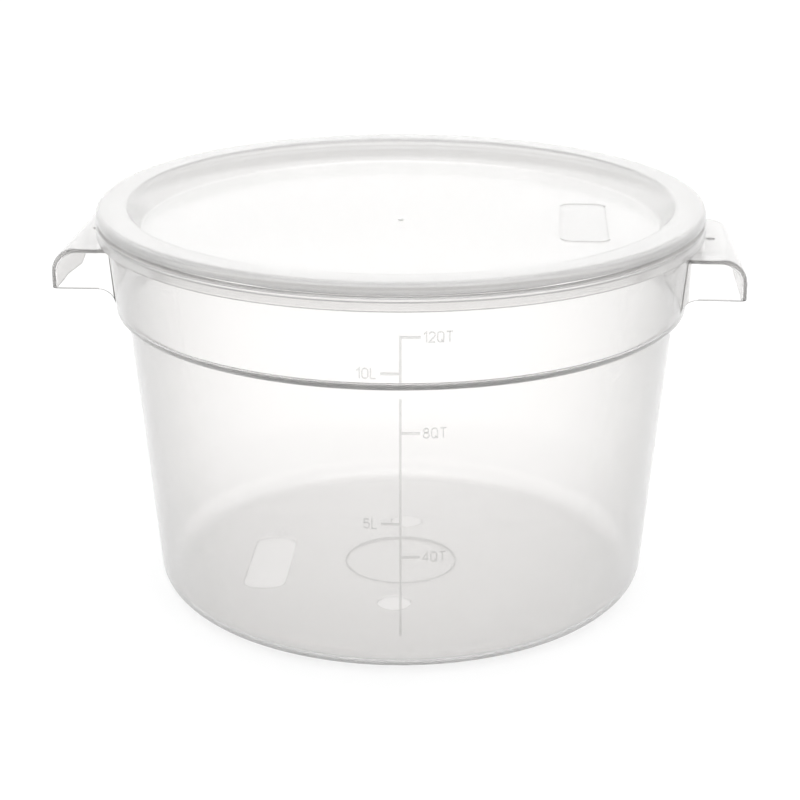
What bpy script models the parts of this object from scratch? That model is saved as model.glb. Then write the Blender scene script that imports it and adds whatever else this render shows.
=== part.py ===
"""Round food storage container: a drafted tub with a stepped wall and two open-bottomed handles, and its
lift-off lid with a sunk panel. Metres, +Z up. The origin is the centre of the base, on the plane that it
stands on, and the handles point along +X and -X."""

import math

import bmesh
import bpy
from mathutils import Matrix, Vector

# Container: base and lower wall
base_radius = 0.1344
base_corner = 0.014
base_floor = 0.0026
wall = 0.0024
wall_draft = math.radians(4.84)
gate_recess_radius = 0.0312
gate_recess_depth = 0.0006

# Container: shoulder, where the wall steps out below the handles so that nested tubs don't jam
shoulder_gap = 0.0053
shoulder_step = 0.0058
shoulder_floor = 0.0026
shoulder_edge = 0.0012
shoulder_fillet = 0.0010

# Container: rim, with a downturned apron below it and a head that the lid snaps over
rim_height = 0.2128
rim_round = 0.0010
head_depth = 0.0020
head_proud = 0.0012
head_round = 0.0004
ledge_drop = 0.0054
apron_proud = 0.0046
apron_depth = 0.0064
apron_wall = 0.0018
apron_top = 0.0021
apron_edge = 0.0005

# Handles: a plate with a rounded lip and two end webs, open below for the fingers
handle_drop = 0.0060
handle_length = 0.0866
handle_reach = 0.0253
handle_depth = 0.0216
handle_wall = 0.0024
lip_radius = 0.0135
handle_corner = 0.0036
web_foot_radius = 0.0090
drain_radius = 0.0024
drain_gap = 0.0008

# Lid: ring, skirt and sunk panel
lid_wall = 0.0019
skirt_wall = 0.0017
skirt_reach = 0.0034
skirt_edge = 0.0004
ring_corner = 0.0030
ring_width = 0.0157
recess_depth = 0.0126
recess_run = 0.0076
recess_edge = 0.0015
recess_fillet = 0.0022
panel = 0.0018

# Clearances between the two mouldings
seat_gap = 0.0003
snap_gap = 0.0003
skirt_gap = 0.0007
snap_bead = 0.0008

# Raised graduation on the front of the tub
scale_turn = math.radians(3.7)
line_width = 0.00115
line_proud = 0.0004
tick_length = 0.0095
tick_proud = 0.0003
mark_sink = 0.0008
scale_bottom_share = 0.108
right_tick_shares = (0.879, 0.636, 0.318)
left_tick_shares = (0.792, 0.405)
gap_above_shoulder = 0.0046
gap_below_shoulder = 0.0060

# Fineness of the meshes, and how far cutters overrun what they cut
segments = 64
arc_step = math.radians(24)
lip_steps = 3
merge_distance = 0.000001
overrun = 0.004
sharp_angle = math.radians(35)

draft_slope = math.tan(wall_draft)
wall_across = wall / math.cos(wall_draft)
ledge_height = rim_height - ledge_drop
apron_foot = ledge_height - apron_depth
handle_top = apron_foot - handle_drop
lip_foot = handle_top - handle_depth
web_foot = lip_foot - web_foot_radius
shoulder_height = web_foot - shoulder_gap


def lower_radius(height):
    """Outer radius of the lower wall at a height above the base."""
    return base_radius + draft_slope * height


def upper_radius(height):
    """Outer radius of the wall above the shoulder."""
    return lower_radius(height) + shoulder_step


apron_radius = upper_radius(ledge_height) + apron_proud
head_radius = upper_radius(rim_height) + head_proud


def material(name, colour, roughness, alpha):
    """Translucent moulded plastic."""
    made = bpy.data.materials.new(name)
    made.use_nodes = True
    shader = made.node_tree.nodes["Principled BSDF"]
    shader.inputs["Base Color"].default_value = (*colour, 1)
    shader.inputs["Roughness"].default_value = roughness
    shader.inputs["Metallic"].default_value = 0
    shader.inputs["Alpha"].default_value = alpha
    made.diffuse_color = (*colour, alpha)
    return made


def rounded(corners):
    """Points of an outline given as (x, y, radius) corners: a corner with a radius becomes an arc."""
    points = [Vector(corner[:2]) for corner in corners]
    outline = [points[0]]
    for before, corner, after, radius in zip(points, points[1:], points[2:], [c[2] for c in corners[1:]]):
        if not radius:
            outline.append(corner)
            continue
        towards = (before - corner).normalized()
        onwards = (after - corner).normalized()
        half = towards.angle(onwards) / 2
        centre = corner + (towards + onwards).normalized() * (radius / math.sin(half))
        start = corner + towards * (radius / math.tan(half)) - centre
        turn = start.angle_signed(corner + onwards * (radius / math.tan(half)) - centre)
        steps = max(1, round(abs(turn) / arc_step))
        for step in range(steps + 1):
            outline.append(centre + Matrix.Rotation(-turn * step / steps, 2) @ start)
    outline.append(points[-1])
    return outline


def new_object(name, shape, finish=None):
    """Object made from a bmesh, with smooth round faces. Without a finish it is a hidden helper."""
    bmesh.ops.recalc_face_normals(shape, faces=shape.faces)
    mesh = bpy.data.meshes.new(name)
    shape.to_mesh(mesh)
    shape.free()
    mesh.shade_smooth()
    mesh.set_sharp_from_angle(angle=sharp_angle)
    made = bpy.data.objects.new(name, mesh)
    bpy.context.scene.collection.objects.link(made)
    if finish:
        mesh.materials.append(finish)
    else:
        made.hide_render = True
        made.display_type = "WIRE"
    return made


def turned(name, corners, finish=None):
    """Solid turned about Z from an outline of (radius, height, rounding) corners, from axis to axis."""
    shape = bmesh.new()
    points = [shape.verts.new((point.x, 0, point.y)) for point in rounded(corners)]
    edges = [shape.edges.new(pair) for pair in zip(points, points[1:])]
    around = {"axis": (0, 0, 1), "angle": math.tau, "steps": segments}
    bmesh.ops.spin(shape, geom=points + edges, use_merge=True, **around)
    bmesh.ops.remove_doubles(shape, verts=shape.verts, dist=merge_distance)
    return new_object(name, shape, finish)


def lofted(name, stations):
    """Solid through sections, each a list of as many points, closed by a face at both ends."""
    shape = bmesh.new()
    rings = [[shape.verts.new(point) for point in station] for station in stations]
    for ring, following in zip(rings, rings[1:]):
        for index in range(len(ring)):
            shape.faces.new((ring[index - 1], ring[index], following[index], following[index - 1]))
    shape.faces.new(rings[0])
    shape.faces.new(rings[-1])
    return new_object(name, shape)


def boolean(target, other, operation):
    """Live EXACT Boolean of another object on the target."""
    modifier = target.modifiers.new(f"{operation.lower()}_{other.name}", "BOOLEAN")
    modifier.operation = operation
    modifier.object = other
    modifier.solver = "EXACT"


def tub_corners():
    """Section of the tub: up its outer side from the axis, over the rim and down the inside to the axis."""
    ledge_inner = shoulder_height + shoulder_floor
    apron_inner = apron_radius - apron_wall
    apron_under = ledge_height - apron_top
    head_foot = rim_height - head_depth
    return [
        (0, gate_recess_depth, 0),
        (gate_recess_radius, gate_recess_depth, 0),
        (gate_recess_radius, 0, 0),
        (base_radius, 0, base_corner),
        (lower_radius(shoulder_height), shoulder_height, shoulder_fillet),
        (upper_radius(shoulder_height), shoulder_height, shoulder_edge),
        (upper_radius(apron_under), apron_under, 0),
        (apron_inner, apron_under, 0),
        (apron_inner, apron_foot, apron_edge),
        (apron_radius, apron_foot, apron_edge),
        (apron_radius, ledge_height, apron_edge),
        (upper_radius(ledge_height), ledge_height, 0),
        (upper_radius(head_foot), head_foot, 0),
        (head_radius, head_foot, head_round),
        (head_radius, rim_height, rim_round),
        (upper_radius(rim_height) - wall_across, rim_height, rim_round),
        (upper_radius(ledge_inner) - wall_across, ledge_inner, shoulder_fillet),
        (lower_radius(ledge_inner) - wall_across, ledge_inner, shoulder_edge),
        (lower_radius(base_floor) - wall_across, base_floor, base_corner - wall),
        (0, base_floor, 0),
    ]


def lid_corners():
    """Section of the lid: out over its top from the axis, down the skirt and back underneath."""
    ring_under = rim_height + seat_gap
    ring_top = ring_under + lid_wall
    panel_top = ring_top - recess_depth
    panel_under = panel_top - panel
    skirt_inner = head_radius + skirt_gap
    skirt_outer = skirt_inner + skirt_wall
    skirt_foot = rim_height - skirt_reach
    bead_inner = head_radius + snap_gap
    recess_radius = skirt_outer - ring_width
    slope = recess_run / recess_depth
    underside = recess_radius + lid_wall / math.cos(math.atan(slope))
    return [
        (0, panel_top, 0),
        (recess_radius - recess_run, panel_top, recess_fillet),
        (recess_radius, ring_top, recess_edge),
        (skirt_outer, ring_top, ring_corner),
        (skirt_outer, skirt_foot, skirt_edge),
        (bead_inner, skirt_foot, skirt_edge),
        (bead_inner, skirt_foot + snap_bead, 0),
        (skirt_inner, skirt_foot + 2 * snap_bead, 0),
        (skirt_inner, ring_under, ring_corner - lid_wall),
        (underside - slope * (ring_top - ring_under), ring_under, 0),
        (underside - slope * (ring_top - panel_under), panel_under, recess_fillet),
        (0, panel_under, 0),
    ]


def handle_stations(inset, sections):
    """Sections of the handle's outer form, or of its hollow when inset by the wall, from end to end along Y.
    Near both ends the lip is set back round the corner."""
    half_length = handle_length / 2 - inset
    corner = handle_corner - inset
    turns = [math.radians(90) * step / sections for step in range(sections + 1)]
    setbacks = [(corner * (1 - math.sin(turn)), corner * (1 - math.cos(turn))) for turn in reversed(turns)]
    near = [(along - half_length, setback) for along, setback in setbacks]
    stations = []
    for along, setback in near + [(-along, setback) for along, setback in reversed(near)]:
        stations.append([(point.x, along, point.y) for point in handle_section(inset, setback)])
    return stations


def handle_section(inset, setback):
    """Outline across the handle, from its root over the plate and down the lip."""
    web_root = math.sqrt(upper_radius(web_foot) ** 2 - (handle_length / 2) ** 2)
    root = web_root - overrun
    reach = upper_radius(handle_top) + handle_reach - inset - setback
    top = handle_top - inset
    if inset:
        low = web_foot - overrun
        return rounded([(root, top, 0), (reach, top, lip_radius - inset), (reach, low, 0), (root, low, 0)])
    plate = [(root, top, 0), (reach, top, lip_radius), (reach, lip_foot, 0)]
    web = [(web_root, lip_foot, web_foot_radius), (web_root, web_foot, 0), (root, web_foot, 0)]
    return rounded(plate + web)


def wall_core():
    """Solid that fills the tub out to the middle of its upper wall, to trim what joins the wall."""
    low = shoulder_height - overrun
    high = rim_height
    middle = wall_across / 2
    corners = [
        (0, low, 0),
        (upper_radius(low) - middle, low, 0),
        (upper_radius(high) - middle, high, 0),
        (0, high, 0),
    ]
    return turned("wall_core", corners)


def handle(name, core, turn):
    """One handle, hollow below and cut to the wall, as a helper that joins the tub."""
    body = lofted(name, handle_stations(0, lip_steps))
    hollow = lofted(f"{name}_hollow", handle_stations(handle_wall, lip_steps))
    boolean(body, hollow, "DIFFERENCE")
    boolean(body, core, "DIFFERENCE")
    body.rotation_euler.z = turn
    hollow.rotation_euler.z = turn
    return body


def drain_hole(name, turn):
    """Cutter for the small hole in a handle's plate, just outside the apron."""
    shape = bmesh.new()
    place = Matrix.Translation((apron_radius + drain_gap + drain_radius, 0, handle_top - handle_wall / 2))
    bmesh.ops.create_cone(
        shape, cap_ends=True, segments=segments // 4, radius1=drain_radius, radius2=drain_radius,
        depth=handle_wall + 2 * overrun, matrix=place,
    )
    cutter = new_object(name, shape)
    cutter.rotation_euler.z = turn
    return cutter


def raised_mark(name, size, proud, along, height, radius_at):
    """Low bar on the wall's outside, leaning with its draft. Along is the arc from the scale's middle."""
    radius = radius_at(height)
    shape = bmesh.new()
    bmesh.ops.create_cube(shape, size=1)
    bmesh.ops.scale(shape, vec=(size[0], proud + mark_sink, size[1]), verts=shape.verts)
    bmesh.ops.translate(shape, vec=(0, (mark_sink - proud) / 2, 0), verts=shape.verts)
    mark = new_object(name, shape)
    turn = Matrix.Rotation(scale_turn + along / radius, 4, "Z")
    lean = Matrix.Rotation(wall_draft, 4, "X")
    mark.matrix_world = turn @ Matrix.Translation((0, -radius, height)) @ lean
    return mark


def graduation():
    """The vertical line in two lengths, clear of the shoulder, and the ticks on both sides of it."""
    top = rim_height * max(right_tick_shares) + line_width / 2
    upper_foot = shoulder_height + gap_above_shoulder
    lower_top = shoulder_height - gap_below_shoulder
    bottom = rim_height * scale_bottom_share
    upper = raised_mark(
        "line_upper", (line_width, top - upper_foot), line_proud, 0, (top + upper_foot) / 2, upper_radius
    )
    lower = raised_mark(
        "line_lower", (line_width, lower_top - bottom), line_proud, 0, (lower_top + bottom) / 2, lower_radius
    )
    marks = [upper, lower]
    for side, shares in ((1, right_tick_shares), (-1, left_tick_shares)):
        for share in shares:
            height = rim_height * share
            radius_at = upper_radius if height > shoulder_height else lower_radius
            name = f"tick_{'right' if side > 0 else 'left'}_{shares.index(share) + 1}"
            size = (tick_length, line_width)
            marks.append(raised_mark(name, size, tick_proud, side * tick_length / 2, height, radius_at))
    return marks


def container(finish):
    """The tub with its handles, drain holes and graduation, one moulding."""
    tub = turned("container", tub_corners(), finish)
    core = wall_core()
    for side, turn in (("right", 0), ("left", math.pi)):
        boolean(tub, handle(f"handle_{side}", core, turn), "UNION")
        boolean(tub, drain_hole(f"drain_{side}", turn), "DIFFERENCE")
    for mark in graduation():
        boolean(tub, mark, "UNION")
    return tub


def main():
    for old in list(bpy.data.objects):
        bpy.data.objects.remove(old)
    tub_plastic = material("clear_polypropylene", (0.90, 0.91, 0.91), 0.18, 0.35)
    lid_plastic = material("white_polyethylene", (0.93, 0.94, 0.94), 0.28, 0.6)
    container(tub_plastic)
    turned("lid", lid_corners(), lid_plastic)


main()
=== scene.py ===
"""Dressed scene of a round food storage container: a milky clear tub with two handles and a raised fill
scale, under a white translucent lid with a sunk panel. Metres, +Z up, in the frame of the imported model."""

import math

import bmesh
import bpy
from mathutils import Matrix, Vector


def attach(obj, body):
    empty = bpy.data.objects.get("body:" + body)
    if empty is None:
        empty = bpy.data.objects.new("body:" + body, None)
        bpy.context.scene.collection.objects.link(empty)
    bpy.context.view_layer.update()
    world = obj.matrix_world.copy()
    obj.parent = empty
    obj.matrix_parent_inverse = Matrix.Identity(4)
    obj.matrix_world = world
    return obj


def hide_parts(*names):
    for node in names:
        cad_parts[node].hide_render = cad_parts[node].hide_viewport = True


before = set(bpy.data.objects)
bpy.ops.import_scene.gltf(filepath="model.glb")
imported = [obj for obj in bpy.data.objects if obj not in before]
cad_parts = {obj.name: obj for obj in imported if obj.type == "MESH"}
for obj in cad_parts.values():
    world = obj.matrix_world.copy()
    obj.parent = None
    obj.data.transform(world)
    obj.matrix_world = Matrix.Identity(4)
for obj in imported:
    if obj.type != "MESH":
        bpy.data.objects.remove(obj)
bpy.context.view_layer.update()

# Tub: base, wall and shoulder
BASE_RADIUS = 0.1344
BASE_CORNER = 0.014
BASE_FLOOR = 0.0026
WALL = 0.0024
DRAFT = math.radians(4.84)
GATE_RECESS_RADIUS = 0.0312
GATE_RECESS_DEPTH = 0.0006
SHOULDER_HEIGHT = 0.1591
SHOULDER_STEP = 0.0058
SHOULDER_FLOOR = 0.0026
SHOULDER_EDGE = 0.0034
SHOULDER_FILLET = 0.0022

# Tub: rim, with its snap head above a ledge and a downturned apron
RIM_HEIGHT = 0.2128
RIM_ROUND = 0.0010
HEAD_DEPTH = 0.0020
HEAD_PROUD = 0.0012
HEAD_ROUND = 0.0004
HEAD_FILLET = 0.0002
LEDGE_HEIGHT = 0.2074
LEDGE_FILLET = 0.0003
APRON_PROUD = 0.0046
APRON_FOOT = 0.2010
APRON_WALL = 0.0018
APRON_TOP = 0.0021
APRON_EDGE = 0.0005
APRON_FILLET = 0.0004
APRON_ROOT = 0.0003

# Handles
HANDLE_TOP = 0.1950
HANDLE_LENGTH = 0.0866
HANDLE_REACH = 0.0253
HANDLE_WALL = 0.0024
HANDLE_CORNER = 0.0036
HANDLE_EDGE = 0.0007
LIP_FOOT = 0.1734
LIP_RADIUS = 0.0135
WEB_FOOT = 0.1644
DRAIN_RADIUS = 0.0024
DRAIN_GAP = 0.0008

# Lid
LID_WALL = 0.0019
SKIRT_WALL = 0.0017
SKIRT_REACH = 0.0034
SKIRT_EDGE = 0.0004
RING_CORNER = 0.0030
RING_WIDTH = 0.0157
RING_FILLET = 0.0008
RECESS_DEPTH = 0.0126
RECESS_RUN = 0.0076
RECESS_EDGE = 0.0015
RECESS_FILLET = 0.0022
PANEL = 0.0018
SEAT_GAP = 0.0003
SNAP_GAP = 0.0003
SNAP_BEAD = 0.0008
BEAD_ROUND = 0.0002
SKIRT_GAP = 0.0007

# Fill scale. A mark has a side (1 right, -1 left), a share of the rim's height, and a number with its unit.
SCALE_TURN = math.radians(3.7)
SCALE_TOP_SHARE = 0.879
SCALE_FOOT_SHARE = 0.108
SCALE_MARKS = (
    (1, SCALE_TOP_SHARE, "12QT"),
    (1, 0.636, "8QT"),
    (1, 0.318, "4QT"),
    (-1, 0.792, "10L"),
    (-1, 0.405, "5L"),
)
LINE_WIDTH = 0.00115
LINE_PROUD = 0.00028
LINE_STEP = 0.01
LINE_GAP_ABOVE = 0.0046
LINE_GAP_BELOW = 0.0060
TICK_LENGTH = 0.0095
TICK_PROUD = 0.0002
TICK_STEP = 0.002
TICK_START_SHARE = 0.4
MARK_SINK = 0.0003
LETTER_HEIGHT = 0.0051
LETTER_STROKE = 0.00058
LETTER_PROUD = 0.00016
LETTER_SPACE_SHARE = 0.24
LETTERS_RIGHT = 0.0110
LETTERS_LEFT = 0.0116
MITRE_LEAST = 0.35

# Parting lines of the mould's side slides, round each handle
PARTING_TURN = math.radians(23.5)
PARTING_TOP = 0.2005
PARTING_BEND = 0.1765
PARTING_BEND_END = 0.1760
PARTING_FOOT = 0.170
PARTING_CORNER = 0.006
PARTING_RUN = (-0.007, -0.0175)
PARTING_STEPS = (0.004, 0.003)
PARTING_WIDTH = 0.00032
PARTING_PROUD = 0.00013
PARTING_SINK = 0.0002

# Border of the bare label place on the lid's panel
LABEL_CENTRE = (0.098, 0.001)
LABEL_LENGTH = 0.025
LABEL_WIDTH = 0.078
LABEL_CORNER = 0.006
BORDER_WIDTH = 0.0008
BORDER_PROUD = 0.0006
CLEARANCE = 0.00002

# Gate marks, and the raised ring over the edge of the gate recess
FLOOR_GATE_RADIUS = 0.0014
FLOOR_GATE_HEIGHTS = (0.0001, 0.00055)
FLOOR_GATE_EDGE = 0.0002
LID_GATE_RADIUS = 0.0016
LID_GATE_PROUD = 0.0005
LID_GATE_EDGE = 0.0003
FLOOR_RING_WIDTH = 0.0008
FLOOR_RING_HEIGHTS = (0.00001, 0.0004)

# Fineness of the forms
AROUND = 256
ARC_STEP = math.radians(9)
ARC_STEPS_LEAST = 2
HANDLE_SECTIONS = 8
EDGE_SEGMENTS = 3
EDGE_ANGLE = math.radians(50)
DRAIN_SEGMENTS = 32
DISC_SEGMENTS = 48
BOW_STEPS = 10
LABEL_CORNER_STEPS = 6
PARTING_CORNER_STEPS = 8
SHARP = math.radians(28)
MERGE = 1e-6
OVERRUN = 0.004

SLOPE = math.tan(DRAFT)
WALL_ACROSS = WALL / math.cos(DRAFT)
RING_UNDER = RIM_HEIGHT + SEAT_GAP
RING_TOP = RING_UNDER + LID_WALL
PANEL_TOP = RING_TOP - RECESS_DEPTH


def lower_radius(height):
    """Outside radius of the wall below the shoulder."""
    return BASE_RADIUS + SLOPE * height


def upper_radius(height):
    """Outside radius of the wall above the shoulder."""
    return lower_radius(height) + SHOULDER_STEP


def wall_radius(height):
    """Outside radius of the wall at any height."""
    return upper_radius(height) if height > SHOULDER_HEIGHT else lower_radius(height)


APRON_RADIUS = upper_radius(LEDGE_HEIGHT) + APRON_PROUD
HEAD_RADIUS = upper_radius(RIM_HEIGHT) + HEAD_PROUD


def rounded(corners):
    """Outline through (x, y, radius) corners, with an arc at each corner that has a radius."""
    points = [Vector(corner[:2]) for corner in corners]
    outline = [points[0]]
    for before, corner, after, radius in zip(points, points[1:], points[2:], [c[2] for c in corners[1:]]):
        if not radius:
            outline.append(corner)
            continue
        towards = (before - corner).normalized()
        onwards = (after - corner).normalized()
        half = towards.angle(onwards) / 2
        centre = corner + (towards + onwards).normalized() * (radius / math.sin(half))
        start = corner + towards * (radius / math.tan(half)) - centre
        turn = start.angle_signed(corner + onwards * (radius / math.tan(half)) - centre)
        steps = max(ARC_STEPS_LEAST, round(abs(turn) / ARC_STEP))
        for step in range(steps + 1):
            outline.append(centre + Matrix.Rotation(-turn * step / steps, 2) @ start)
    outline.append(points[-1])
    return outline


def finished(name, shape, material=None):
    """Object from a bmesh, smooth with sharp corners."""
    bmesh.ops.recalc_face_normals(shape, faces=shape.faces)
    mesh = bpy.data.meshes.new(name)
    shape.to_mesh(mesh)
    shape.free()
    mesh.shade_smooth()
    mesh.set_sharp_from_angle(angle=SHARP)
    made = bpy.data.objects.new(name, mesh)
    bpy.context.scene.collection.objects.link(made)
    if material:
        mesh.materials.append(material)
    return made


def turned(name, corners, material=None):
    """Solid turned about Z from an outline that starts and ends on the axis."""
    shape = bmesh.new()
    points = [shape.verts.new((point.x, 0, point.y)) for point in rounded(corners)]
    edges = [shape.edges.new(pair) for pair in zip(points, points[1:])]
    around = {"axis": (0, 0, 1), "angle": math.tau, "steps": AROUND}
    bmesh.ops.spin(shape, geom=points + edges, use_merge=True, **around)
    bmesh.ops.remove_doubles(shape, verts=shape.verts, dist=MERGE)
    return finished(name, shape, material)


def skin(shape, stations):
    """Adds the faces through sections of as many points each, closed at both ends."""
    rings = [[shape.verts.new(point) for point in station] for station in stations]
    for ring, following in zip(rings, rings[1:]):
        for index in range(len(ring)):
            shape.faces.new((ring[index - 1], ring[index], following[index], following[index - 1]))
    shape.faces.new(rings[0])
    shape.faces.new(rings[-1])


def lofted(name, stations, material=None):
    """Solid through sections of as many points each."""
    shape = bmesh.new()
    skin(shape, stations)
    return finished(name, shape, material)


def boolean(target, other, operation):
    """Cuts or joins the other object, and then removes it."""
    modifier = target.modifiers.new("cut", "BOOLEAN")
    modifier.operation = operation
    modifier.object = other
    modifier.solver = "EXACT"
    bake(target)
    bpy.data.objects.remove(other)


def bake(target):
    """Applies the modifiers of an object."""
    bpy.context.view_layer.update()
    graph = bpy.context.evaluated_depsgraph_get()
    made = bpy.data.meshes.new_from_object(target.evaluated_get(graph))
    target.modifiers.clear()
    old = target.data
    target.data = made
    bpy.data.meshes.remove(old)
    made.shade_smooth()
    made.set_sharp_from_angle(angle=SHARP)


def tub_corners():
    """Section of the tub: up the outside from the axis, over the rim and down the inside to the axis."""
    ledge_inner = SHOULDER_HEIGHT + SHOULDER_FLOOR
    apron_inner = APRON_RADIUS - APRON_WALL
    apron_under = LEDGE_HEIGHT - APRON_TOP
    head_foot = RIM_HEIGHT - HEAD_DEPTH
    return [
        (0, GATE_RECESS_DEPTH, 0),
        (GATE_RECESS_RADIUS, GATE_RECESS_DEPTH, 0),
        (GATE_RECESS_RADIUS, 0, 0),
        (BASE_RADIUS, 0, BASE_CORNER),
        (lower_radius(SHOULDER_HEIGHT), SHOULDER_HEIGHT, SHOULDER_FILLET),
        (upper_radius(SHOULDER_HEIGHT), SHOULDER_HEIGHT, SHOULDER_EDGE),
        (upper_radius(apron_under), apron_under, APRON_FILLET),
        (apron_inner, apron_under, APRON_ROOT),
        (apron_inner, APRON_FOOT, APRON_EDGE),
        (APRON_RADIUS, APRON_FOOT, APRON_EDGE),
        (APRON_RADIUS, LEDGE_HEIGHT, APRON_EDGE),
        (upper_radius(LEDGE_HEIGHT), LEDGE_HEIGHT, LEDGE_FILLET),
        (upper_radius(head_foot), head_foot, HEAD_FILLET),
        (HEAD_RADIUS, head_foot, HEAD_ROUND),
        (HEAD_RADIUS, RIM_HEIGHT, RIM_ROUND),
        (upper_radius(RIM_HEIGHT) - WALL_ACROSS, RIM_HEIGHT, RIM_ROUND),
        (upper_radius(ledge_inner) - WALL_ACROSS, ledge_inner, SHOULDER_FILLET),
        (lower_radius(ledge_inner) - WALL_ACROSS, ledge_inner, SHOULDER_EDGE),
        (lower_radius(BASE_FLOOR) - WALL_ACROSS, BASE_FLOOR, BASE_CORNER - WALL),
        (0, BASE_FLOOR, 0),
    ]


def lid_corners():
    """Section of the lid: out over its top from the axis, down the skirt and back underneath."""
    panel_under = PANEL_TOP - PANEL
    skirt_inner = HEAD_RADIUS + SKIRT_GAP
    skirt_outer = skirt_inner + SKIRT_WALL
    skirt_foot = RIM_HEIGHT - SKIRT_REACH
    bead_inner = HEAD_RADIUS + SNAP_GAP
    recess_radius = skirt_outer - RING_WIDTH
    slope = RECESS_RUN / RECESS_DEPTH
    underside = recess_radius + LID_WALL / math.cos(math.atan(slope))
    return [
        (0, PANEL_TOP, 0),
        (recess_radius - RECESS_RUN, PANEL_TOP, RECESS_FILLET),
        (recess_radius, RING_TOP, RECESS_EDGE),
        (skirt_outer, RING_TOP, RING_CORNER),
        (skirt_outer, skirt_foot, SKIRT_EDGE),
        (bead_inner, skirt_foot, SKIRT_EDGE),
        (bead_inner, skirt_foot + SNAP_BEAD, BEAD_ROUND),
        (skirt_inner, skirt_foot + 2 * SNAP_BEAD, BEAD_ROUND),
        (skirt_inner, RING_UNDER, RING_CORNER - LID_WALL),
        (underside - slope * LID_WALL, RING_UNDER, RING_FILLET),
        (underside - slope * (RING_TOP - panel_under), panel_under, RECESS_FILLET),
        (0, panel_under, 0),
    ]


def handle_section(inset, setback):
    """Outline across the handle, from its root over the plate and down the lip."""
    web_root = math.sqrt(upper_radius(WEB_FOOT) ** 2 - (HANDLE_LENGTH / 2) ** 2)
    root = web_root - OVERRUN
    reach = upper_radius(HANDLE_TOP) + HANDLE_REACH - inset - setback
    top = HANDLE_TOP - inset
    if inset:
        low = WEB_FOOT - OVERRUN
        return rounded([(root, top, 0), (reach, top, LIP_RADIUS - inset), (reach, low, 0), (root, low, 0)])
    plate = [(root, top, 0), (reach, top, LIP_RADIUS), (reach, LIP_FOOT, 0)]
    web = [(web_root, LIP_FOOT, LIP_FOOT - WEB_FOOT), (web_root, WEB_FOOT, 0), (root, WEB_FOOT, 0)]
    return rounded(plate + web)


def handle_stations(inset):
    """Sections of the handle's outer form, or of its hollow when inset, from end to end along Y."""
    half_length = HANDLE_LENGTH / 2 - inset
    corner = HANDLE_CORNER - inset
    turns = [math.radians(90) * step / HANDLE_SECTIONS for step in range(HANDLE_SECTIONS + 1)]
    setbacks = [(corner * (1 - math.sin(turn)), corner * (1 - math.cos(turn))) for turn in reversed(turns)]
    near = [(along - half_length, setback) for along, setback in setbacks]
    stations = []
    for along, setback in near + [(-along, setback) for along, setback in reversed(near)]:
        stations.append([(point.x, along, point.y) for point in handle_section(inset, setback)])
    return stations


def handle(turn):
    """One handle, hollow below and cut back to the middle of the wall, to be joined to the tub."""
    body = lofted("handle", handle_stations(0))
    softened = body.modifiers.new("edges", "BEVEL")
    softened.width = HANDLE_EDGE
    softened.segments = EDGE_SEGMENTS
    softened.limit_method = "ANGLE"
    softened.angle_limit = EDGE_ANGLE
    bake(body)
    boolean(body, lofted("hollow", handle_stations(HANDLE_WALL)), "DIFFERENCE")
    low = SHOULDER_HEIGHT - OVERRUN
    middle = WALL_ACROSS / 2
    core = [(0, low, 0), (upper_radius(low) - middle, low, 0)]
    core += [(upper_radius(RIM_HEIGHT) - middle, RIM_HEIGHT, 0), (0, RIM_HEIGHT, 0)]
    boolean(body, turned("core", core), "DIFFERENCE")
    body.data.transform(Matrix.Rotation(turn, 4, "Z"))
    return body


def drain(turn):
    """Cutter for the small hole through a handle's plate."""
    shape = bmesh.new()
    place = Matrix.Translation((APRON_RADIUS + DRAIN_GAP + DRAIN_RADIUS, 0, HANDLE_TOP - HANDLE_WALL / 2))
    bmesh.ops.create_cone(
        shape, cap_ends=True, segments=DRAIN_SEGMENTS, radius1=DRAIN_RADIUS, radius2=DRAIN_RADIUS,
        depth=HANDLE_WALL + 2 * OVERRUN, matrix=Matrix.Rotation(turn, 4, "Z") @ place,
    )
    return finished("drain", shape)


# Materials. Haze is the diffuse share of the plastic, and the rest of it lets light through.
HAZE_SCALE = 14
HAZE_DETAIL = 4
SATIN_SCALE = 60
SATIN_DETAIL = 6
CLOUDED_SHARE = 0.985
ROUGHNESS_SHARES = (0.8, 1.2)
GRAIN_DEPTH = 0.0002
FACING_BLEND = 0.5
SLANT_POWER = 2.3
PLASTIC_IOR = 1.49
ABSORBED_COLOUR = (0.5, 0.49, 0.48, 1)
ABSORBED_DENSITY = 13
AREA_FADE = 0.0003
AREA_STEP = 0.0002
AREA_STEP_STRENGTH = 0.6
BAND_MARGIN = 0.0002

# Areas seen from above: centre, half the size, and corner radius
PAD_RADIUS = 0.0095
CLEAR_AREAS = (
    ((-0.074, -0.008), (0.012, 0.035), 0.009),
    ((0, -0.056), (PAD_RADIUS, PAD_RADIUS), PAD_RADIUS),
    ((0, 0.056), (PAD_RADIUS, PAD_RADIUS), PAD_RADIUS),
)
APRON_AREA = ((0, 0), (APRON_RADIUS, APRON_RADIUS), APRON_RADIUS)
LABEL_AREA = (LABEL_CENTRE, (LABEL_LENGTH / 2, LABEL_WIDTH / 2), LABEL_CORNER)

# Bands between two heights, with the haze that each adds
MILKY_BANDS = (
    (APRON_FOOT - BAND_MARGIN, LEDGE_HEIGHT, 0.10),
    (SHOULDER_HEIGHT - 0.0010, SHOULDER_HEIGHT + SHOULDER_FLOOR + 0.0006, 0.25),
)

# Painted shade on the base, as haze heavier toward the front: the heights over which its fade ends, and the
# shares of haze at two places along Y
BASE_SHADE_FADE = ((0.003, 0.016), (-0.13, 0.13), (2.1, 0))
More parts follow.
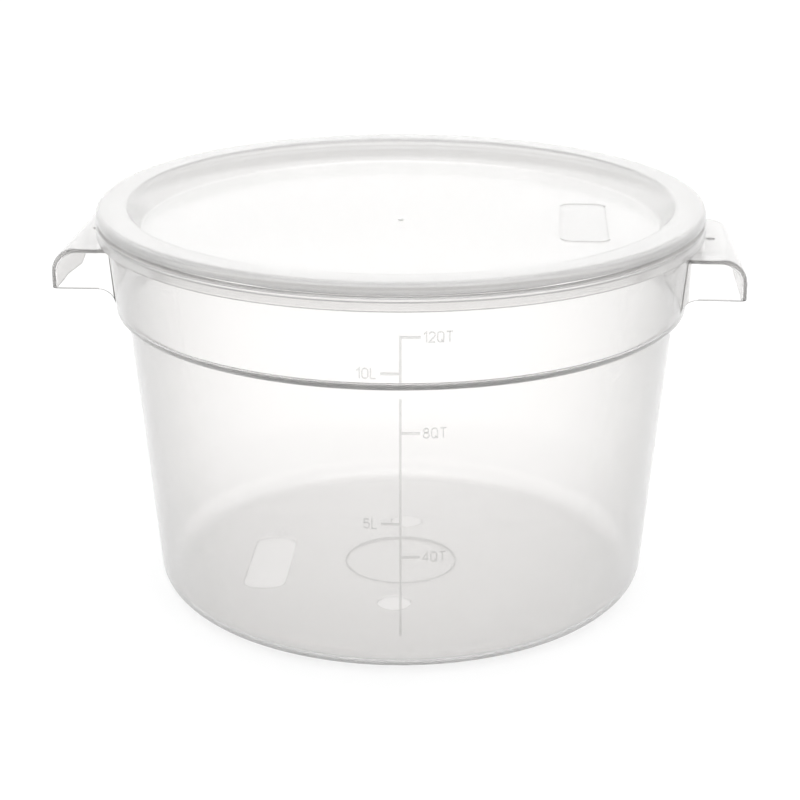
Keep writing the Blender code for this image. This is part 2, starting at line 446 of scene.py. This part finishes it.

# Darker places, painted shade on the handles or a duller label place: area, heights, whether all outside the
# area is meant, and the share of brightness left
# Painted shade: the handle plate and the foot of its lip are darkened in colour where shade falls.
PAINTED_SHADE_HANDLES = (
    (APRON_AREA, (HANDLE_TOP - HANDLE_WALL - BAND_MARGIN, HANDLE_TOP + 0.001), True, 0.86),
    (APRON_AREA, (LIP_FOOT - BAND_MARGIN, LIP_FOOT + 0.0006), True, 0.60),
)
DULL_LABEL = ((LABEL_AREA, (RIM_HEIGHT - RECESS_DEPTH, RIM_HEIGHT), False, 0.95),)


def node_of(tree, kind, output, inputs, **settings):
    """Output socket of a new node, with its settings made and its inputs set or linked."""
    node = tree.nodes.new("ShaderNode" + kind)
    for name, value in settings.items():
        setattr(node, name, value)
    for name, value in inputs.items():
        if isinstance(value, bpy.types.NodeSocket):
            tree.links.new(value, node.inputs[name])
        else:
            node.inputs[name].default_value = value
    return node.outputs[output]


def math_of(tree, operation, *values, clamp=False):
    """Socket with the result of a Math node on sockets and numbers."""
    return node_of(tree, "Math", "Value", dict(enumerate(values)), operation=operation, use_clamp=clamp)


def ramp(tree, value, start, end, low, high, kind="LINEAR"):
    """Socket that goes from low to high while a value goes from start to end."""
    ends = {"From Min": start, "From Max": end, "To Min": low, "To Max": high}
    return node_of(tree, "MapRange", "Result", {"Value": value, **ends}, interpolation_type=kind)


def mix_of(tree, factor, first, second, kind):
    """Socket with a blend of two numbers or colours."""
    return node_of(tree, "Mix", "Result", {"Factor": factor, "A": first, "B": second}, data_type=kind)


def axis_of(tree, place, axis):
    """Socket with one coordinate of a place."""
    return node_of(tree, "SeparateXYZ", axis, {"Vector": place})


def shaded(colour, share):
    """Colour with a share of its brightness, as a socket takes it."""
    return (*[tone * share for tone in colour], 1)


def area(tree, place, centre, half, corner):
    """Socket that is 1 inside a rounded rectangle seen from above, and fades out at its edge."""
    steps = (
        ("MULTIPLY", (1, 1, 0)), ("SUBTRACT", (*centre, 0)), ("ABSOLUTE", None),
        ("SUBTRACT", (half[0] - corner, half[1] - corner, 0)), ("MAXIMUM", (0, 0, 0)), ("LENGTH", None),
    )
    socket = place
    for operation, other in steps:
        inputs = {0: socket, 1: other} if other else {0: socket}
        output = "Value" if operation == "LENGTH" else "Vector"
        socket = node_of(tree, "VectorMath", output, inputs, operation=operation)
    return ramp(tree, socket, corner - AREA_FADE, corner, 1, 0)


def band(tree, place, low, high):
    """Socket that is 1 between two heights."""
    return math_of(tree, "COMPARE", axis_of(tree, place, "Z"), (low + high) / 2, (high - low) / 2)


def base_shade_fade(tree, place, heights, ends, shares):
    """Painted shade on the base: socket that goes from one share of haze to another along Y, and turns to 1
    above it.
    """
    along = ramp(tree, axis_of(tree, place, "Y"), *ends, *shares)
    above = ramp(tree, axis_of(tree, place, "Z"), *heights, 0, 1, "SMOOTHSTEP")
    return mix_of(tree, above, along, 1, "FLOAT")


def plastic(name, colour, clear, slanted, roughness, grain, polished=(), milky=(), shade_and_dull=(), shade_fading=None):
    """Translucent moulded plastic, hazier at a slant, with an uneven satin surface.

    Clear and slanted are the shares of it that let light through, seen square on and at a slant. Polished
    areas have no haze, and milky bands between two heights have more. Darker places, each an area or all
    that is outside it between two heights, are painted shade on the handles or a duller label place on the
    lid. The base's painted shade is more haze toward the front and less toward the back.
    """
    made = bpy.data.materials.new(name)
    made.use_nodes = True
    tree = made.node_tree
    shader = tree.nodes["Principled BSDF"]
    place = tree.nodes.new("ShaderNodeTexCoord").outputs["Object"]

    cloud = node_of(tree, "TexNoise", "Fac", {"Vector": place, "Scale": HAZE_SCALE, "Detail": HAZE_DETAIL})
    tint_and_shade = mix_of(tree, cloud, shaded(colour, CLOUDED_SHARE), shaded(colour, 1), "RGBA")
    # Darker places in the colour: painted shade on the handles, or a duller label place on the lid.
    for outline, heights, outside, share in shade_and_dull:
        inside = area(tree, place, *outline)
        where = math_of(tree, "SUBTRACT", 1, inside) if outside else inside
        within = math_of(tree, "MULTIPLY", where, band(tree, place, *heights))
        tint_and_shade = mix_of(tree, within, tint_and_shade, shaded(colour, share), "RGBA")

    satin = node_of(tree, "TexNoise", "Fac", {"Vector": place, "Scale": SATIN_SCALE, "Detail": SATIN_DETAIL})
    rough = ramp(tree, satin, 0, 1, *[roughness * share for share in ROUGHNESS_SHARES])
    normal = node_of(tree, "Bump", "Normal", {"Strength": grain, "Distance": GRAIN_DEPTH, "Height": satin})

    slant = node_of(tree, "LayerWeight", "Facing", {"Blend": FACING_BLEND})
    haze = ramp(tree, math_of(tree, "POWER", slant, SLANT_POWER), 0, 1, 1 - clear, 1 - slanted)
    for low, high, share in milky:
        haze = math_of(tree, "MULTIPLY_ADD", band(tree, place, low, high), share, haze)
    # Painted shade on the base: more haze toward the front, none at the back.
    if shade_fading:
        haze = math_of(tree, "MULTIPLY", haze, base_shade_fade(tree, place, *shade_fading))
    for outline in polished:
        inside = area(tree, place, *outline)
        haze = math_of(tree, "MULTIPLY", haze, math_of(tree, "SUBTRACT", 1, inside))
        step = {"Strength": AREA_STEP_STRENGTH, "Distance": AREA_STEP, "Height": inside, "Normal": normal}
        normal = node_of(tree, "Bump", "Normal", step)

    # White noise with a mean of 1 breaks the haze up into specks finer than the picture shows
    speck = node_of(tree, "TexWhiteNoise", "Value", {"Vector": place}, noise_dimensions="3D")
    specks = math_of(tree, "MULTIPLY", haze, math_of(tree, "MULTIPLY", speck, 2))
    through = math_of(tree, "SUBTRACT", 1, specks, clamp=True)

    surface = {"Base Color": tint_and_shade, "Roughness": rough, "Normal": normal, "Transmission Weight": through}
    for entry, socket in surface.items():
        tree.links.new(socket, shader.inputs[entry])
    shader.inputs["IOR"].default_value = PLASTIC_IOR
    soak = {"Color": ABSORBED_COLOUR, "Density": ABSORBED_DENSITY}
    volume = node_of(tree, "VolumeAbsorption", "Volume", soak)
    tree.links.new(volume, tree.nodes["Material Output"].inputs["Volume"])
    return made


# The tub's plastic carries painted shade: darker colour on the handles, and more haze toward the front of the
# base.
TUB_PLASTIC = plastic(
    "clear_polypropylene", (0.98, 0.973, 0.967), clear=0.995, slanted=0.05, roughness=0.05, grain=0.02,
    polished=CLEAR_AREAS, milky=MILKY_BANDS, shade_and_dull=PAINTED_SHADE_HANDLES, shade_fading=BASE_SHADE_FADE,
)
LID_PLASTIC = plastic(
    "white_polyethylene", (0.985, 0.98, 0.975), clear=0.70, slanted=0.40, roughness=0.15, grain=0.01,
    shade_and_dull=DULL_LABEL,
)
MARK_PLASTIC = plastic(
    "raised_marks", (0.968, 0.964, 0.960), clear=0.88, slanted=0.40, roughness=0.20, grain=0.03,
)
FROST_PLASTIC = plastic(
    "frosted_plastic", (0.99, 0.985, 0.98), clear=0.60, slanted=0.30, roughness=0.35, grain=0.03,
)


def bow(x, y, across, up, start, end, steps=BOW_STEPS):
    """Points on part of an ellipse, by its angles in degrees."""
    turns = [math.radians(start + (end - start) * step / steps) for step in range(steps + 1)]
    return [(x + across * math.cos(turn), y + up * math.sin(turn)) for turn in turns]


# Each letter: its width, and its strokes in a box of that width and a height of 1
ROUND_O = bow(0.28, 0.72, 0.28, 0.28, 0, 180) + bow(0.28, 0.28, 0.28, 0.28, 180, 360) + [(0.56, 0.72)]
LETTERS = {
    "0": (0.56, [ROUND_O]),
    "1": (0.24, [[(0, 0.78), (0.24, 1), (0.24, 0)]]),
    "2": (0.54, [bow(0.27, 0.73, 0.27, 0.27, 165, -35) + [(0, 0), (0.54, 0)]]),
    "4": (0.56, [[(0.42, 0), (0.42, 1), (0, 0.27), (0.56, 0.27)]]),
    "5": (0.54, [[(0.5, 1), (0.06, 1), (0.02, 0.53)] + bow(0.25, 0.33, 0.28, 0.32, 125, -150)]),
    "8": (0.54, [bow(0.27, 0.76, 0.23, 0.24, 270, 630, 16), bow(0.27, 0.27, 0.27, 0.27, 90, 450, 16)]),
    "L": (0.48, [[(0, 1), (0, 0), (0.48, 0)]]),
    "Q": (0.60, [ROUND_O, [(0.34, 0.22), (0.6, -0.04)]]),
    "T": (0.56, [[(0, 1), (0.56, 1)], [(0.28, 1), (0.28, 0)]]),
}


def on_wall(turn, along, height, out):
    """Point on the outside of the wall, out from it by so much. Along is the arc from a turn away from -Y."""
    radius = wall_radius(height)
    angle = turn + along / radius
    radius += out
    return (radius * math.sin(angle), -radius * math.cos(angle), height)


def stroke(shape, path, width, place, proud, sink):
    """Adds a flat bar with mitred corners along (x, y) points. Place maps x, y and out to a point."""
    points = [Vector(point) for point in path]
    sections = []
    for index, point in enumerate(points):
        before = (point - points[index - 1]).normalized() if index else None
        after = (points[index + 1] - point).normalized() if index < len(points) - 1 else None
        way = ((before or after) + (after or before)).normalized()
        side = Vector((-way.y, way.x))
        along = before or after
        reach = width / 2 / max(MITRE_LEAST, side.dot(Vector((-along.y, along.x))))
        left, right = point + side * reach, point - side * reach
        corners = ((left, proud), (right, proud), (right, -sink), (left, -sink))
        sections.append([place(corner.x, corner.y, out) for corner, out in corners])
    skin(shape, sections)


def divided(start, end, step):
    """Points along a straight line, a step or less apart."""
    count = max(1, math.ceil((Vector(end) - Vector(start)).length / step))
    return [tuple(Vector(start).lerp(Vector(end), index / count)) for index in range(count + 1)]


def fill_scale():
    """The upright line in two lengths, its ticks, and a plain number and unit beside each tick."""
    shape = bmesh.new()

    def place(along, height, out):
        return on_wall(SCALE_TURN, along, height, out)

    top = RIM_HEIGHT * SCALE_TOP_SHARE + LINE_WIDTH / 2
    foot = RIM_HEIGHT * SCALE_FOOT_SHARE
    for low, high in ((SHOULDER_HEIGHT + LINE_GAP_ABOVE, top), (foot, SHOULDER_HEIGHT - LINE_GAP_BELOW)):
        stroke(shape, divided((0, low), (0, high), LINE_STEP), LINE_WIDTH, place, LINE_PROUD, MARK_SINK)
    for side, share, word in SCALE_MARKS:
        height = RIM_HEIGHT * share
        ends = sorted((side * LINE_WIDTH * TICK_START_SHARE, side * TICK_LENGTH))
        tick = divided((ends[0], height), (ends[1], height), TICK_STEP)
        stroke(shape, tick, LINE_WIDTH, place, TICK_PROUD, MARK_SINK)
        spaces = LETTER_SPACE_SHARE * (len(word) - 1)
        wide = (sum(LETTERS[letter][0] for letter in word) + spaces) * LETTER_HEIGHT
        along = LETTERS_RIGHT if side > 0 else -LETTERS_LEFT - wide
        low = height - LETTER_HEIGHT / 2
        for letter in word:
            width, paths = LETTERS[letter]
            for path in paths:
                line = [(along + x * LETTER_HEIGHT, low + y * LETTER_HEIGHT) for x, y in path]
                stroke(shape, line, LETTER_STROKE, place, LETTER_PROUD, MARK_SINK)
            along += (width + LETTER_SPACE_SHARE) * LETTER_HEIGHT
    return finished("fill_scale", shape, MARK_PLASTIC)


def mould_lines():
    """Faint parting lines that frame each handle on the upper wall, left by the mould's side slides."""
    shape = bmesh.new()
    near, far = PARTING_RUN
    upright_step, level_step = PARTING_STEPS
    upright = divided((0, PARTING_TOP), (0, PARTING_BEND), upright_step)
    radius = PARTING_CORNER
    corner = bow(-radius, PARTING_BEND_END, radius, radius, 0, -90, PARTING_CORNER_STEPS)
    level = divided((near, PARTING_FOOT), (far, PARTING_FOOT), level_step)
    for handle_turn in (math.radians(90), math.radians(270)):
        for side in (-1, 1):

            def place(along, height, out):
                return on_wall(handle_turn + side * PARTING_TURN, side * along, height, out)

            stroke(shape, upright + corner + level, PARTING_WIDTH, place, PARTING_PROUD, PARTING_SINK)
    return finished("mould_lines", shape, TUB_PLASTIC)


def label_border():
    """Raised border round the bare label place on the lid's panel."""
    shape = bmesh.new()
    path = []
    for x, y, start in ((1, 1, 0), (-1, 1, 90), (-1, -1, 180), (1, -1, 270)):
        middle = (x * (LABEL_LENGTH / 2 - LABEL_CORNER), y * (LABEL_WIDTH / 2 - LABEL_CORNER))
        path += bow(*middle, LABEL_CORNER, LABEL_CORNER, start, start + 90, LABEL_CORNER_STEPS)
    path = [tuple(Vector(point) + Vector(LABEL_CENTRE)) for point in path + path[:2]]

    def place(x, y, out):
        return (x, y, PANEL_TOP + out)

    stroke(shape, path, BORDER_WIDTH, place, BORDER_PROUD, -CLEARANCE)
    return finished("lid_label_border", shape, LID_PLASTIC)


def disc(name, radius, low, high, edge, material):
    """Flat round plate on the axis, with its upper edge drawn in a little."""
    turns = [math.tau * index / DISC_SEGMENTS for index in range(DISC_SEGMENTS)]
    stations = []
    for height, size in ((low, radius), (high - edge, radius), (high, radius - edge)):
        stations.append([(size * math.cos(turn), size * math.sin(turn), height) for turn in turns])
    return lofted(name, stations, material)


def ring_line(name, radius, width, low, high, material):
    """Fine raised ring on a flat face, with sloping sides."""
    section = ((-width / 2, low), (-width / 4, high), (width / 4, high), (width / 2, low))
    shape = bmesh.new()
    rows = []
    for step in range(AROUND):
        turn = math.tau * step / AROUND
        places = [((radius + out) * math.cos(turn), (radius + out) * math.sin(turn), z) for out, z in section]
        rows.append([shape.verts.new(place) for place in places])
    for row, after in zip(rows, rows[1:] + rows[:1]):
        for corners in zip(row, row[1:] + row[:1], after[1:] + after[:1], after):
            shape.faces.new(corners)
    return finished(name, shape, material)


tub = turned("tub", tub_corners(), TUB_PLASTIC)
for turn in (0, math.pi):
    boolean(tub, handle(turn), "UNION")
    boolean(tub, drain(turn), "DIFFERENCE")
tub.data.materials.clear()
tub.data.materials.append(TUB_PLASTIC)
cover = turned("cover", lid_corners(), LID_PLASTIC)

for piece, node, body, slot in (
    (tub, "container", "container", "clear_plastic"),
    (cover, "lid", "lid", "lid_plastic"),
):
    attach(piece, body)
    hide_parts(node)

for piece in (
    fill_scale(),
    mould_lines(),
    disc("floor_gate", FLOOR_GATE_RADIUS, *FLOOR_GATE_HEIGHTS, FLOOR_GATE_EDGE, FROST_PLASTIC),
    ring_line("floor_ring", GATE_RECESS_RADIUS, FLOOR_RING_WIDTH,
              *[BASE_FLOOR + height for height in FLOOR_RING_HEIGHTS], MARK_PLASTIC),
):
    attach(piece, "container")

for piece in (
    label_border(),
    disc("lid_gate", LID_GATE_RADIUS, PANEL_TOP + CLEARANCE, PANEL_TOP + LID_GATE_PROUD, LID_GATE_EDGE,
         FROST_PLASTIC),
):
    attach(piece, "lid")

# Floor, world, lamp and camera
FLOOR_SIZE = 30
FLOOR_DROP = 0.0003
FLOOR_GREY = 0.30
FLOOR_GLOW = 0.78
WORLD_TOP = 1.15
WORLD_SIDE = 0.33
WORLD_BACK = 1.2
HIGH_FROM, HIGH_TO = 0.3, 0.8
LOW_FROM, LOW_TO = 0.38, 0.56
BEHIND_FROM, BEHIND_TO = 0.3, 0.8
LAMP_SIZE = 1.6
LAMP_POWER = 12
LAMP_PLACE = (0, 0.15, 1.7)
LENS = 86.86
SENSOR = 36
SHIFT = -0.00115
CAMERA_TURN = math.radians(3.8)
CAMERA_PITCH = math.radians(20.01)
CAMERA_DISTANCE = 1.0085
CAMERA_HEIGHT = 0.4666
BOUNCES = 32
GLOSSY_BOUNCES = 12


def shown(tree):
    """Socket that is 1 for what the camera sees, straight, mirrored or through the plastic."""
    path = tree.nodes.new("ShaderNodeLightPath").outputs
    seen = math_of(tree, "MAXIMUM", path["Is Camera Ray"], path["Is Glossy Ray"])
    return math_of(tree, "MAXIMUM", seen, path["Is Transmission Ray"])


def backdrop():
    """Large floor that keeps the object's shadow, and shows white to the camera and through the plastic."""
    shape = bmesh.new()
    bmesh.ops.create_grid(shape, x_segments=1, y_segments=1, size=FLOOR_SIZE)
    bmesh.ops.translate(shape, vec=(0, 0, -FLOOR_DROP), verts=shape.verts)
    made = bpy.data.materials.new("floor_white")
    made.use_nodes = True
    tree = made.node_tree
    tree.nodes.clear()
    matt = node_of(tree, "BsdfDiffuse", "BSDF", {"Color": (FLOOR_GREY, FLOOR_GREY, FLOOR_GREY, 1)})
    lift = math_of(tree, "MULTIPLY", shown(tree), FLOOR_GLOW)
    glow = node_of(tree, "Emission", "Emission", {"Color": (1, 1, 1, 1), "Strength": lift})
    both = node_of(tree, "AddShader", "Shader", {0: matt, 1: glow})
    tree.links.new(both, tree.nodes.new("ShaderNodeOutputMaterial").inputs["Surface"])
    floor = finished("floor", shape, made)


def sky():
    """Soft studio light from all round: bright above and low behind, dimmer to the front and the sides."""
    world = bpy.data.worlds.new("studio")
    bpy.context.scene.world = world
    world.use_nodes = True
    tree = world.node_tree
    background = tree.nodes["Background"]
    place = tree.nodes.new("ShaderNodeTexCoord").outputs["Generated"]
    up = ramp(tree, axis_of(tree, place, "Z"), HIGH_FROM, HIGH_TO, 0, 1, "SMOOTHSTEP")
    low = ramp(tree, axis_of(tree, place, "Z"), LOW_FROM, LOW_TO, WORLD_BACK, WORLD_SIDE, "SMOOTHSTEP")
    behind = ramp(tree, axis_of(tree, place, "Y"), BEHIND_FROM, BEHIND_TO, WORLD_SIDE, low, "SMOOTHSTEP")
    level = mix_of(tree, up, behind, WORLD_TOP, "FLOAT")
    tree.links.new(mix_of(tree, shown(tree), level, 1, "FLOAT"), background.inputs["Strength"])
    background.inputs["Color"].default_value = (1, 1, 1, 1)


backdrop()
sky()

lamp = bpy.data.lights.new("soft_top", "AREA")
lamp.shape = "DISK"
lamp.size = LAMP_SIZE
lamp.energy = LAMP_POWER
light = bpy.data.objects.new("soft_top", lamp)
light.location = LAMP_PLACE
light.rotation_euler = (-math.atan2(light.location.y, light.location.z), 0, 0)
bpy.context.scene.collection.objects.link(light)

sight = bpy.data.cameras.new("camera")
sight.lens = LENS
sight.sensor_width = SENSOR
sight.shift_x = SHIFT
camera = bpy.data.objects.new("camera", sight)
camera.location = (
    CAMERA_DISTANCE * math.sin(CAMERA_TURN), -CAMERA_DISTANCE * math.cos(CAMERA_TURN), CAMERA_HEIGHT,
)
camera.rotation_euler = (math.radians(90) - CAMERA_PITCH, 0, CAMERA_TURN)
bpy.context.scene.collection.objects.link(camera)
bpy.context.scene.camera = camera

bpy.context.scene.view_settings.view_transform = "Standard"
bpy.context.scene.cycles.max_bounces = BOUNCES
bpy.context.scene.cycles.transmission_bounces = BOUNCES
bpy.context.scene.cycles.glossy_bounces = GLOSSY_BOUNCES
